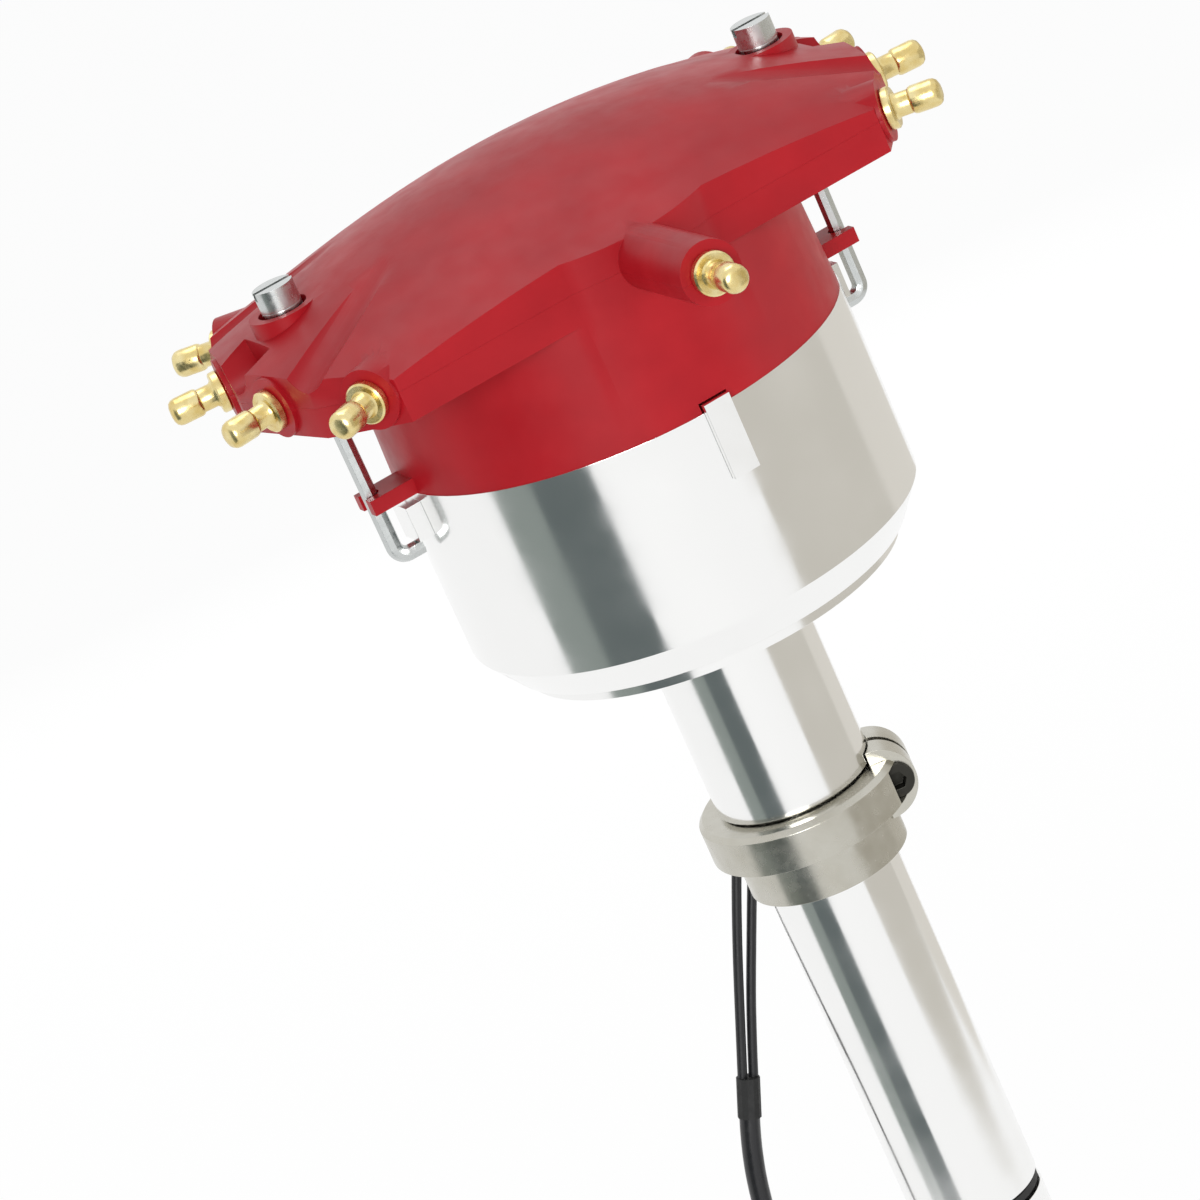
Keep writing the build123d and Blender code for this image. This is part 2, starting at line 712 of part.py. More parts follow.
with BuildPart() as lower_bushing:
    with BuildSketch(Plane.XY.offset(barrel_bottom_z)):
        Circle(bore_r)
        Circle(shaft_r + run_gap, mode=Mode.SUBTRACT)
    extrude(amount=bushing_length)
lower_bushing.part.label = "lower_bushing"
export_step(lower_bushing.part, "parts/lower_bushing.step")

with BuildPart() as thrust_washer:
    with BuildSketch(Plane.XY.offset(gear_top_z)):
        RegularPolygon(gear_hub_r + 2, 16)
        Circle(shaft_r, mode=Mode.SUBTRACT)
    extrude(amount=washer_thickness)
thrust_washer.part.label = "thrust_washer"
export_step(thrust_washer.part, "parts/thrust_washer.step")

gear_steps = 2
tooth_bottom_z = gear_top_z - gear_tooth_length

with BuildPart() as drive_gear:
    with Locations((0, 0, tooth_bottom_z)):
        Cylinder(gear_r, gear_tooth_length, align=(Align.CENTER, Align.CENTER, Align.MIN))
    with BuildLine() as gap_line:
        Polyline(*[
            (
                *polar(gear_r, gear_twist * i / gear_steps),
                tooth_bottom_z - 2 + (gear_tooth_length + 4) * i / gear_steps,
            )
            for i in range(gear_steps + 1)
        ])
    with BuildSketch(Plane(origin=gap_line.line @ 0, x_dir=(1, 0, 0), z_dir=gap_line.line % 0)):
        with BuildLine():
            Polyline((-3.2, -0.9), (-3.2, 0.9), (1.5, 2.9), (1.5, -2.9), close=True)
        make_face()
    tooth_gap = sweep(transition=Transition.RIGHT, mode=Mode.PRIVATE)
    with PolarLocations(0, gear_teeth):
        add(tooth_gap, mode=Mode.SUBTRACT)
    with Locations((0, 0, gear_top_z - gear_length)):
        Cylinder(gear_hub_r, gear_length, align=(Align.CENTER, Align.CENTER, Align.MIN))
    Cylinder(shaft_r, through_all, mode=Mode.SUBTRACT)
    with BuildSketch(Plane.YZ):
        with Locations((0, gear_pin_z)):
            Circle(gear_pin_r)
    extrude(amount=30, both=True, mode=Mode.SUBTRACT)
drive_gear.part.label = "drive_gear"
export_step(drive_gear.part, "parts/drive_gear.step")

with BuildPart() as gear_pin:
    with BuildSketch(Plane.YZ):
        with Locations((0, gear_pin_z)):
            Circle(gear_pin_r)
    extrude(amount=gear_hub_r, both=True)
gear_pin.part.label = "gear_pin"
export_step(gear_pin.part, "parts/gear_pin.step")

# ======================================================================================
# Mechanical advance: carrier plate on a sleeve, two weights, their springs and the cam
# ======================================================================================
plate_z = seam_z - advance_plate_drop
plate_top_z = plate_z + advance_plate_thickness
sleeve_bottom_z = floor_z + slide_gap
weight_z = plate_top_z + slide_gap
weight_top_z = weight_z + weight_thickness
clip_thickness = 0.8
pivot_top_z = weight_top_z + 2.2
rotor_base_z = seam_z - 4.0
rotor_post_r = 3.2
spring_anchor = (14.0, 4.0)
spring_pin = (11.0, -19.0)
spring_pin_r = 1.5
spring_z = weight_top_z + 2.6
spring_coil_r = 1.8
spring_wire = 0.7
eye_thickness = 0.8
eye_slack = 4.4             # the pin's travel inside its long eye
eye_side_play = 2.2         # room for the pin's arc across the eye
eye_side_shift = 0.7
eye_length = eye_slack + 2 * spring_pin_r + 1.6
eye_width = 2 * spring_pin_r + eye_side_play

with BuildPart() as advance_carrier:
    with Locations((0, 0, plate_z)):
        Cylinder(advance_plate_r, advance_plate_thickness, align=(Align.CENTER, Align.CENTER, Align.MIN))
    with Locations((0, 0, sleeve_bottom_z)):
        Cylinder(sleeve_r, plate_z - sleeve_bottom_z, align=(Align.CENTER, Align.CENTER, Align.MIN))
    Cylinder(shaft_r + run_gap, through_all, mode=Mode.SUBTRACT)
    with BuildSketch(Plane.XY.offset(plate_top_z)):
        with PolarLocations(pivot_reach, 2, start_angle=90):
            Circle(pivot_r)
    extrude(amount=pivot_top_z - plate_top_z)
    with BuildSketch(Plane.XY.offset(plate_top_z)):
        with PolarLocations(rotor_post_reach, 2, start_angle=rotor_post_angle):
            RegularPolygon(rotor_post_r, 12)
    extrude(amount=rotor_base_z - plate_top_z)
    with BuildSketch(Plane.XY.offset(plate_top_z)):
        with PolarLocations(0, 2):
            with Locations(spring_anchor):
                RegularPolygon(spring_pin_r, 8)
    extrude(amount=spring_z + spring_pin_proud - plate_top_z)
advance_carrier.part.label = "advance_carrier"
export_step(advance_carrier.part, "parts/advance_carrier.step")

pivot_boss_r = 5.5
nose_offset = (3.4, -7.2)
nose_r = 2.0

for turn, letter in ((0, "a"), (180, "b")):
    frame = Plane.XY.offset(weight_z).rotated((0, 0, turn))
    with BuildPart() as weight:
        with BuildSketch(frame):
            with BuildLine():
                CenterArc((0, 0), weight_outer_r, 90, weight_sweep)
                CenterArc((0, 0), weight_inner_r, 90, weight_sweep)
                Line(polar(weight_inner_r, 90), polar(weight_outer_r, 90))
                Line(polar(weight_inner_r, 90 + weight_sweep), polar(weight_outer_r, 90 + weight_sweep))
            make_face()
            with Locations((0, pivot_reach)):
                Circle(pivot_boss_r)
            with BuildLine():
                Polyline(
                    (0, pivot_reach),
                    (pivot_boss_r - 0.6, pivot_reach - 2),
                    (nose_offset[0] + nose_r, pivot_reach + nose_offset[1]),
                    (nose_offset[0], pivot_reach + nose_offset[1] - nose_r),
                    (nose_offset[0] - nose_r * 0.8, pivot_reach + nose_offset[1]),
                    close=True,
                )
            make_face()
            with Locations((0, pivot_reach)):
                Circle(pivot_r + run_gap, mode=Mode.SUBTRACT)
        extrude(amount=weight_thickness)
        with BuildSketch(frame.offset(weight_thickness)):
            with Locations((-spring_pin[0], -spring_pin[1])):
                RegularPolygon(spring_pin_r, 8)
        extrude(amount=spring_z + spring_pin_proud - weight_top_z)
    weight.part.label = f"advance_weight_{letter}"
    export_step(weight.part, f"parts/advance_weight_{letter}.step")

with BuildPart() as weight_clips:
    with BuildSketch(Plane.XY.offset(weight_top_z + 0.4)):
        with PolarLocations(pivot_reach, 2, start_angle=90):
            RegularPolygon(clip_r, 12)
            RegularPolygon(pivot_r, 12, major_radius=False, mode=Mode.SUBTRACT)
    extrude(amount=clip_thickness)
weight_clips.part.label = "weight_clips"
export_step(weight_clips.part, "parts/weight_clips.step")

with BuildPart() as advance_cam:
    with BuildSketch(Plane.XY.offset(weight_z)):
        Circle(cam_hub_r)
        with PolarLocations(cam_lobe_reach, 2, start_angle=cam_angle):
            Circle(cam_lobe_r)
        with Locations(Location((0, 0, 0), (0, 0, cam_angle))):
            Rectangle(2 * cam_lobe_reach, 2 * cam_lobe_r)
        Circle(shaft_r, mode=Mode.SUBTRACT)
    extrude(amount=weight_thickness - 1)
advance_cam.part.label = "advance_cam"
export_step(advance_cam.part, "parts/advance_cam.step")

spring_vector = Vector(*spring_pin) - Vector(*spring_anchor)
spring_span = spring_vector.length
spring_coil_length = 9.0
spring_coil_start = 5.5

for turn, letter in ((0, "a"), (180, "b")):
    turned = Vector(*spring_anchor).rotate(Axis.Z, turn)
    along = spring_vector.rotate(Axis.Z, turn)
    eye_plane = Plane(origin=(turned.X, turned.Y, spring_z), x_dir=along, z_dir=(0, 0, 1))
    coil_plane_x = Plane(
        origin=eye_plane.from_local_coords(Vector(spring_coil_start, 0, 0)),
        x_dir=(0, 0, 1),
        z_dir=along,
    )
    with BuildPart() as advance_spring:
        with BuildLine() as spring_line:
            Polyline(*[
                coil_plane_x.from_local_coords(Vector(*point))
                for point in helix_points(spring_coil_r, spring_coil_length, 5, 6)
            ])
        with BuildSketch(Plane(origin=spring_line.line @ 0, z_dir=spring_line.line % 0)):
            Rectangle(spring_wire, spring_wire)
        sweep(transition=Transition.RIGHT)
        with BuildSketch(eye_plane.offset(-eye_thickness / 2)):
            RegularPolygon(spring_pin_r + 1.1, 10)
            with Locations((spring_pin_r + 2.6, 0)):
                Rectangle(4.2, eye_wall)
            with Locations((spring_span + eye_slack / 2 - 0.4, eye_side_shift)):
                Rectangle(eye_length + 2 * eye_wall, eye_width + 2 * eye_wall)
                Rectangle(eye_length, eye_width, mode=Mode.SUBTRACT)
            with Locations((spring_span - spring_pin_r - 4.2, 0)):
                Rectangle(5.0, eye_wall)
            Circle(spring_pin_r + run_gap, mode=Mode.SUBTRACT)
        extrude(amount=eye_thickness)
        with BuildSketch(coil_plane_x.offset(-0.35)):
            with Locations((spring_coil_r / 2, 0)):
                Rectangle(spring_coil_r + 0.8, 0.8)
        extrude(amount=0.7)
        with BuildSketch(coil_plane_x.offset(spring_coil_length - 0.35)):
            with Locations((spring_coil_r / 2, 0)):
                Rectangle(spring_coil_r + 0.8, 0.8)
        extrude(amount=0.7)
    advance_spring.part.label = f"advance_spring_{letter}"
    export_step(advance_spring.part, f"parts/advance_spring_{letter}.step")

reluctor_z = seam_z - 38.0
reluctor_height = 8.0

with BuildPart() as reluctor:
    with BuildSketch(Plane.XY.offset(reluctor_z)):
        Circle(reluctor_r - 5)
        with PolarLocations(reluctor_r - 4, reluctor_teeth):
            Rectangle(8, 3.6)
        Circle(sleeve_r, mode=Mode.SUBTRACT)
    extrude(amount=reluctor_height)
reluctor.part.label = "reluctor"
export_step(reluctor.part, "parts/reluctor.step")

# ======================================================================================
# Rotor on the advance carrier
# ======================================================================================
blade_z = seam_z + 16.4
blade_thickness = 1.4
arm_thickness = 4.0

with BuildPart() as rotor_body:
    with Locations((0, 0, rotor_base_z)):
        Cylinder(rotor_r, 3.0, align=(Align.CENTER, Align.CENTER, Align.MIN))
    with BuildSketch(Plane.XY.offset(rotor_base_z + 3)):
        RegularPolygon(14, 16)
    extrude(amount=blade_z - arm_thickness - rotor_base_z - 3, taper=8)
    with BuildSketch(Plane.XY.offset(blade_z - arm_thickness).rotated((0, 0, rotor_angle))):
        with Locations((8, 0)):
            Rectangle(46, 16)
    extrude(amount=arm_thickness)
    with BuildSketch(Plane.XY.offset(rotor_base_z)):
        with PolarLocations(rotor_post_reach, 2, start_angle=rotor_post_angle):
            RegularPolygon(1.7, 8)
    extrude(amount=3, mode=Mode.SUBTRACT)
rotor_body.part.label = "rotor_body"
export_step(rotor_body.part, "parts/rotor_body.step")

with BuildPart() as rotor_blade:
    with BuildSketch(Plane.XY.offset(blade_z).rotated((0, 0, rotor_angle))):
        with Locations((blade_reach / 2 - 3, 0)):
            Rectangle(blade_reach + 6, 7)
    extrude(amount=blade_thickness)
    with BuildSketch(Plane.XY.offset(blade_z + blade_thickness)):
        RegularPolygon(4, 12)
    extrude(amount=seam_z + contact_rise - blade_z - blade_thickness)
rotor_blade.part.label = "rotor_blade"
export_step(rotor_blade.part, "parts/rotor_blade.step")

with BuildPart() as rotor_screws:
    with BuildSketch(Plane.XY.offset(rotor_base_z + 3)):
        with PolarLocations(rotor_post_reach, 2, start_angle=rotor_post_angle):
            RegularPolygon(3.4, 12)
    extrude(amount=2)
    with BuildSketch(Plane.XY.offset(rotor_base_z)):
        with PolarLocations(rotor_post_reach, 2, start_angle=rotor_post_angle):
            RegularPolygon(1.7, 8)
    extrude(amount=3)
rotor_screws.part.label = "rotor_screws"
export_step(rotor_screws.part, "parts/rotor_screws.step")

# ======================================================================================
# Magnetic pickup on its plate, which also holds the upper bearing down
# ======================================================================================
pickup_plate_inset = 7.4    # from the bowl's wall
pickup_plate_r = cavity_r - pickup_plate_inset
pickup_plate_thickness = 2.0
pickup_angle = 150.0
pickup_z = reluctor_z + reluctor_height / 2
air_gap = 0.6
pickup_plate_top_z = floor_z + pickup_plate_thickness

with BuildPart() as pickup_plate:
    with BuildSketch(Plane.XY.offset(floor_z)):
        Circle(pickup_plate_r)
        Circle(sleeve_r + 2, mode=Mode.SUBTRACT)
        with Locations((lead_x, lead_y)):
            Rectangle(lead_window, lead_window, mode=Mode.SUBTRACT)
    extrude(amount=pickup_plate_thickness)
pickup_plate.part.label = "pickup_plate"
export_step(pickup_plate.part, "parts/pickup_plate.step")

with BuildPart() as pickup_screws:
    with BuildSketch(Plane.XY.offset(pickup_plate_top_z)):
        with PolarLocations(pickup_plate_r - pickup_screw_inset, 3, start_angle=pickup_angle + 60):
            RegularPolygon(pickup_screw_r, 8)
    extrude(amount=pickup_screw_height)
pickup_screws.part.label = "pickup_screws"
export_step(pickup_screws.part, "parts/pickup_screws.step")

core_length = 14.0
core_start = reluctor_r + air_gap
core_width = 5.0
coil_length = 8.0

with BuildPart() as pickup_core:
    with BuildSketch(outward_plane(pickup_angle, core_start, pickup_z)):
        Rectangle(core_width, core_width)
    extrude(amount=core_length)
pickup_core.part.label = "pickup_core"
export_step(pickup_core.part, "parts/pickup_core.step")

with BuildPart() as pickup_coil:
    with BuildSketch(outward_plane(pickup_angle, core_start + coil_inset, pickup_z)):
        RegularPolygon(coil_r, 12)
        Rectangle(core_width, core_width, mode=Mode.SUBTRACT)
    extrude(amount=coil_length)
pickup_coil.part.label = "pickup_coil"
export_step(pickup_coil.part, "parts/pickup_coil.step")

pickup_foot_plane = Plane(origin=(0, 0, pickup_plate_top_z)).rotated((0, 0, pickup_angle))

with BuildPart() as pickup_magnet:
    with BuildSketch(pickup_foot_plane):
        with Locations((core_start + core_length + magnet_depth / 2, 0)):
            Rectangle(magnet_depth, magnet_width)
    extrude(amount=pickup_z + magnet_proud - pickup_plate_top_z)
pickup_magnet.part.label = "pickup_magnet"
export_step(pickup_magnet.part, "parts/pickup_magnet.step")

# ======================================================================================
# Lead: grommet in the bowl's floor, two wires, boot, sleeve and a two-pin connector
# ======================================================================================
grommet_flange_r = 5.5
grommet_flange = 2.0

with BuildPart() as lead_grommet:
    with BuildSketch(Plane.XY.offset(foot_z)):
        with Locations((lead_x, lead_y)):
            Circle(grommet_hole_r)
    extrude(amount=floor_z - foot_z)
    with BuildSketch(Plane.XY.offset(foot_z)):
        with Locations((lead_x, lead_y)):
            RegularPolygon(grommet_flange_r, 16)
    extrude(amount=-grommet_flange)
lead_grommet.part.label = "lead_grommet"
export_step(lead_grommet.part, "parts/lead_grommet.step")


def bend_radii(points):
    """Largest arc for each corner of a cord: 0.45 of the shorter run over the half turn's tangent."""
    radii = []
    for before, corner, after in zip(points, points[1:], points[2:]):
        run_in = Vector(*corner) - Vector(*before)
        run_out = Vector(*after) - Vector(*corner)
        half_turn = radians(run_in.get_angle(run_out)) / 2
        radii.append(0.45 * min(run_in.length, run_out.length) / tan(half_turn))
    return radii


# x and height of each wire's corners, both in the plane of the grommet
wire_routes = {
    "a": [
        (26.2, 70.0),
        (26.2, 59.0),
        (21.6, 44.1),
        (12.3, 29.8),
        (2.3, 13.4),
        (-6.8, -4.4),
        (-15.1, -21.8),
        (-22.96, -38.55),
        (-28.66, -52.55),
    ],
    "b": [
        (21.8, 70.0),
        (21.8, 59.0),
        (17.6, 45.9),
        (8.5, 32.2),
        (-1.5, 15.6),
        (-10.6, -2.5),
        (-18.5, -20.2),
        (-25.64, -37.45),
        (-31.34, -51.45),
    ],
}

for letter, route in wire_routes.items():
    wire_points = [(x, lead_y, z) for x, z in route]
    wire_radii = bend_radii(wire_points)
    with BuildPart() as lead_wire:
        with BuildLine() as wire_line:
            FilletPolyline(*wire_points, radius=wire_radii)
        with BuildSketch(Plane(origin=wire_line.line @ 0, z_dir=wire_line.line % 0)) as wire_section:
            RegularPolygon(wire_r, 8)
        sweep()
    wire_length = sum(edge.length for edge in wire_line.edges())
    print(f"lead_wire_{letter} radii", [round(r) for r in wire_radii], "length", round(wire_length, 1))
    plain_volume = wire_section.sketch.area * wire_length
    print("volume over section times length", lead_wire.part.volume / plain_volume)
    lead_wire.part.label = f"lead_wire_{letter}"
    export_step(lead_wire.part, f"parts/lead_wire_{letter}.step")

boot_start = Vector(-30.0, lead_y, -52.0)
boot_way = Vector(-5.7, 0, -14.0).normalized()
boot_end = boot_start + boot_way * boot_length

with BuildPart() as lead_boot:
    with BuildSketch(Plane(origin=boot_start, z_dir=boot_way)):
        RegularPolygon(boot_r, 12)
    extrude(amount=boot_length)
lead_boot.part.label = "lead_boot"
export_step(lead_boot.part, "parts/lead_boot.step")

sleeve_points = [
    (boot_end.X, lead_y, boot_end.Z),
    (-37.81, lead_y, -71.17),
    (-41.2, lead_y, -90.0),
    (-43.4, lead_y, -110.0),
    (-43.4, lead_y, -129.0),
]
sleeve_radii = bend_radii(sleeve_points)

with BuildPart() as lead_sleeve:
    with BuildLine() as sleeve_line:
        FilletPolyline(*sleeve_points, radius=sleeve_radii)
    with BuildSketch(Plane(origin=sleeve_line.line @ 0, z_dir=sleeve_line.line % 0)) as sleeve_section:
        RegularPolygon(sleeve_tube_r, 8)
    sweep()
sleeve_length = sum(edge.length for edge in sleeve_line.edges())
print("lead_sleeve radii", [round(r) for r in sleeve_radii], "length", round(sleeve_length, 1))
plain_volume = sleeve_section.sketch.area * sleeve_length
print("volume over section times length", lead_sleeve.part.volume / plain_volume)
lead_sleeve.part.label = "lead_sleeve"
export_step(lead_sleeve.part, "parts/lead_sleeve.step")

plug_x, plug_y, plug_top_z = sleeve_points[-1]
socket_r = 1.8
pin_r = 0.8
pin_pitch = 5.0
socket_depth = 8.0

with BuildPart() as lead_connector:
    with BuildSketch(Plane.XY.offset(plug_top_z)):
        with Locations((plug_x, plug_y)):
            RegularPolygon(sleeve_tube_r + 1.0, 12)
    extrude(amount=-connector_neck)
    with BuildSketch(Plane.XY.offset(plug_top_z - connector_neck)):
        with Locations((plug_x, plug_y)):
            RectangleRounded(connector_width, connector_depth, connector_corner_r)
    extrude(amount=-connector_length)
    with BuildSketch(Plane.XY.offset(plug_top_z - connector_neck - connector_length)):
        with Locations((plug_x - pin_pitch / 2, plug_y), (plug_x + pin_pitch / 2, plug_y)):
            RegularPolygon(socket_r, 8)
    extrude(amount=socket_depth, mode=Mode.SUBTRACT)
    with BuildSketch(Plane.XY.offset(plug_top_z - 14.0)):
        with Locations((plug_x, plug_y - connector_depth / 2 - 0.75)):
            Rectangle(5.0, 1.5)
    extrude(amount=-10.0)
lead_connector.part.label = "lead_connector"
export_step(lead_connector.part, "parts/lead_connector.step")

with BuildPart() as connector_pins:
    with BuildSketch(Plane.XY.offset(plug_top_z - 5.0 - connector_length + socket_depth)):
        with Locations((plug_x - pin_pitch / 2, plug_y), (plug_x + pin_pitch / 2, plug_y)):
            RegularPolygon(pin_r, 8)
    extrude(amount=2.0 - socket_depth)
connector_pins.part.label = "connector_pins"
export_step(connector_pins.part, "parts/connector_pins.step")
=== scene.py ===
import math

import bpy
from mathutils import Matrix, Vector


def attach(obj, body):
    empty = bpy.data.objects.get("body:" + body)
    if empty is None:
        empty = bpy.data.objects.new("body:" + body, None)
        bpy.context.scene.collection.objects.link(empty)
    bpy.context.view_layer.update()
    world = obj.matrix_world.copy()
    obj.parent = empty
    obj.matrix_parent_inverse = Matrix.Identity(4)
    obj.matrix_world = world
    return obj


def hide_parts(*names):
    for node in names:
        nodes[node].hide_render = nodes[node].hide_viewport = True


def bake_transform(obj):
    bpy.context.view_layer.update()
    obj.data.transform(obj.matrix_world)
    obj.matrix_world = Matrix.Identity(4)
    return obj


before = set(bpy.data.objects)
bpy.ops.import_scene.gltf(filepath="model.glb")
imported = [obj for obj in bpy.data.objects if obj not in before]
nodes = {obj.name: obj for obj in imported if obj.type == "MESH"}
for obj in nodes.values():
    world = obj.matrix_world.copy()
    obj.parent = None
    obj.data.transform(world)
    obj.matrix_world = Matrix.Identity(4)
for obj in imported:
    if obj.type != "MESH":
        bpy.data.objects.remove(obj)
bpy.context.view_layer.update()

# ---------------------------------------------------------------------------------------
# Camera, floor and light: a pale studio with the distributor held up in the air.
# The camera looks down on the cap a little and is rolled, so that the barrel slants.
# ---------------------------------------------------------------------------------------
camera_place = Vector((-0.34212, -1.01142, 0.46273))
camera_right = Vector((0.82800, -0.40499, -0.38781))
camera_up = Vector((0.48460, 0.16889, 0.85828))
camera_data = bpy.data.cameras.new("camera")
camera_data.lens = 150
camera_data.sensor_width = 36
camera = bpy.data.objects.new("camera", camera_data)
bpy.context.scene.collection.objects.link(camera)
camera_axes = Matrix((camera_right, camera_up, camera_right.cross(camera_up))).transposed()
camera.matrix_world = Matrix.Translation(camera_place) @ camera_axes.to_4x4()
bpy.context.scene.camera = camera
bpy.context.scene.view_settings.view_transform = "Standard"


def colour(hex_code):
    """sRGB hex to the linear colour that a shader takes."""
    channels = [int(hex_code[i : i + 2], 16) / 255 for i in (1, 3, 5)]
    return (*[c / 12.92 if c <= 0.04045 else ((c + 0.055) / 1.055) ** 2.4 for c in channels], 1)


def add(tree, kind, sockets=None, **settings):
    """A node with its settings, its socket values and its links."""
    made = tree.nodes.new(kind)
    for name, value in settings.items():
        setattr(made, name, value)
    for socket, value in (sockets or {}).items():
        if isinstance(value, bpy.types.NodeSocket):
            tree.links.new(value, made.inputs[socket])
        else:
            made.inputs[socket].default_value = value
    return made


def seen_directly(tree):
    """Value that is 1 for the camera's rays and for those that polished metal mirrors."""
    path = add(tree, "ShaderNodeLightPath")
    rays = {0: path.outputs["Is Camera Ray"], 1: path.outputs["Is Glossy Ray"]}
    return add(tree, "ShaderNodeMath", rays, operation="MAXIMUM")


world = bpy.data.worlds.new("studio")
world.use_nodes = True
bpy.context.scene.world = world
world.node_tree.nodes.clear()
sky_lit = add(world.node_tree, "ShaderNodeBackground", {"Color": colour("#EEF1F5"), "Strength": 0.5})
sky_seen = add(world.node_tree, "ShaderNodeBackground", {"Color": colour("#FFFFFF"), "Strength": 1.0})
sky_share = seen_directly(world.node_tree)
sky_mix = add(
    world.node_tree,
    "ShaderNodeMixShader",
    {0: sky_share.outputs[0], 1: sky_lit.outputs[0], 2: sky_seen.outputs[0]},
)
add(world.node_tree, "ShaderNodeOutputWorld", {"Surface": sky_mix.outputs[0]})

# painted studio floor, white to the camera and to polished metal, with a faint shadow
floor_height = -0.42
bpy.ops.mesh.primitive_plane_add(size=14, location=(0, 0, floor_height))
floor = bpy.context.object
floor.name = "floor"
floor_paint = bpy.data.materials.new("white_floor_paint")
floor_paint.use_nodes = True
floor_tree = floor_paint.node_tree
floor_tree.nodes.clear()
floor_seen = seen_directly(floor_tree)
floor_whiteness = 0.95  # the rest keeps the faint shadow
floor_share = add(
    floor_tree, "ShaderNodeMath", {0: floor_seen.outputs[0], 1: floor_whiteness}, operation="MULTIPLY"
)
floor_matt = add(floor_tree, "ShaderNodeBsdfDiffuse", {"Color": colour("#F4F4F2")})
floor_glow = add(floor_tree, "ShaderNodeEmission", {"Color": colour("#FFFFFF"), "Strength": 1.0})
floor_mix = add(
    floor_tree,
    "ShaderNodeMixShader",
    {0: floor_share.outputs[0], 1: floor_matt.outputs[0], 2: floor_glow.outputs[0]},
)
add(floor_tree, "ShaderNodeOutputMaterial", {"Surface": floor_mix.outputs[0]})
floor.data.materials.append(floor_paint)

lamps = [
    ("key_softbox", (-0.9, -1.5, 0.55), 0.9, 18),
    ("top_softbox", (0.15, 0.35, 1.3), 0.8, 3.5),
    ("right_softbox", (1.5, -0.9, 0.25), 0.9, 11),
    ("back_softbox", (0.5, 1.6, 0.2), 0.9, 8),
]
for name, place, size, power in lamps:
    lamp_data = bpy.data.lights.new(name, "AREA")
    lamp_data.size = size
    lamp_data.energy = power
    lamp = bpy.data.objects.new(name, lamp_data)
    bpy.context.scene.collection.objects.link(lamp)
    aim = Vector((0, 0, 0.08)) - Vector(place)
    lamp.matrix_world = Matrix.Translation(place) @ aim.to_track_quat("-Z", "Y").to_matrix().to_4x4()
    lamp.visible_glossy = name != "back_softbox"  # no glint along the crown's edge

# studio flags: upright cards that only polished metal mirrors, and that neither light nor shade
flags = [
    ("dark_flag", 209.5, 29, 0.62, "#626A6A"),
    ("grey_flag", 184.5, 21, 0.66, "#8B938F"),
    ("pale_flag", 325.5, 69, 0.70, "#C9C5BC"),
    ("right_flag", 25, 50, 0.74, "#DAD6CE"),
]
for name, bearing, spread, reach, shade in flags:
    bpy.ops.mesh.primitive_plane_add(size=1)
    flag = bpy.context.object
    flag.name = name
    width = 2 * reach * math.tan(math.radians(spread / 2))
    direction = Vector((math.cos(math.radians(bearing)), math.sin(math.radians(bearing)), 0))
    upright = direction.to_track_quat("-Z", "Y").to_matrix().to_4x4()
    flag.matrix_world = Matrix.Translation(direction * reach) @ upright @ Matrix.Diagonal((width, 0.9, 1, 1))
    card = bpy.data.materials.new(name + "_card")
    card.use_nodes = True
    card.node_tree.nodes.clear()
    glow = add(card.node_tree, "ShaderNodeEmission", {"Color": colour(shade), "Strength": 1.0})
    add(card.node_tree, "ShaderNodeOutputMaterial", {"Surface": glow.outputs[0]})
    flag.data.materials.append(card)
    flag.visible_camera = False
    flag.visible_diffuse = False
    flag.visible_shadow = False
    flag.visible_transmission = False

# ---------------------------------------------------------------------------------------
# Lead: two PVC-covered wires of the magnetic pickup come out of the bowl's floor, run
# together in a rubber boot and go on in a black sleeve to the two-pin connector.
# ---------------------------------------------------------------------------------------
MM = 0.001
lead_y = 32.0
wire_diameter = 2.4
sleeve_diameter = 5.0
wire_routes = {
    "a": [
        (26.2, 70.0), (26.2, 59.0), (21.6, 44.1), (12.3, 29.8), (2.3, 13.4),
        (-6.8, -4.4), (-15.1, -21.8), (-22.96, -38.55), (-28.66, -52.55),
    ],
    "b": [
        (21.8, 70.0), (21.8, 59.0), (17.6, 45.9), (8.5, 32.2), (-1.5, 15.6),
        (-10.6, -2.5), (-18.5, -20.2), (-25.64, -37.45), (-31.34, -51.45),
    ],
}
sleeve_route = [(-33.771, -61.262), (-37.81, -71.17), (-41.2, -90.0), (-43.4, -110.0), (-43.4, -129.0)]


def lead_curve(name, route, diameter):
    """Smooth cord through the plane of the grommet, from route points of x and height."""
    data = bpy.data.curves.new(name, "CURVE")
    data.dimensions = "3D"
    data.bevel_depth = diameter / 2 * MM
    data.bevel_resolution = 6
    data.resolution_u = 16
    data.use_fill_caps = True
    spline = data.splines.new("NURBS")
    spline.points.add(len(route) - 1)
    for point, (x, z) in zip(spline.points, route):
        point.co = (x * MM, lead_y * MM, z * MM, 1)
    spline.order_u = 3
    spline.use_endpoint_u = True
    curve = bpy.data.objects.new(name, data)
    bpy.context.scene.collection.objects.link(curve)
    return curve


def principled(name, hex_code, roughness, metallic=0.0, **sockets):
    """A material with one Principled shader; returns the material, its tree and the shader."""
    material = bpy.data.materials.new(name)
    material.use_nodes = True
    tree = material.node_tree
    tree.nodes.clear()
    shader = add(
        tree,
        "ShaderNodeBsdfPrincipled",
        {"Base Color": colour(hex_code), "Roughness": roughness, "Metallic": metallic, **sockets},
    )
    add(tree, "ShaderNodeOutputMaterial", {"Surface": shader.outputs[0]})
    return material, tree, shader


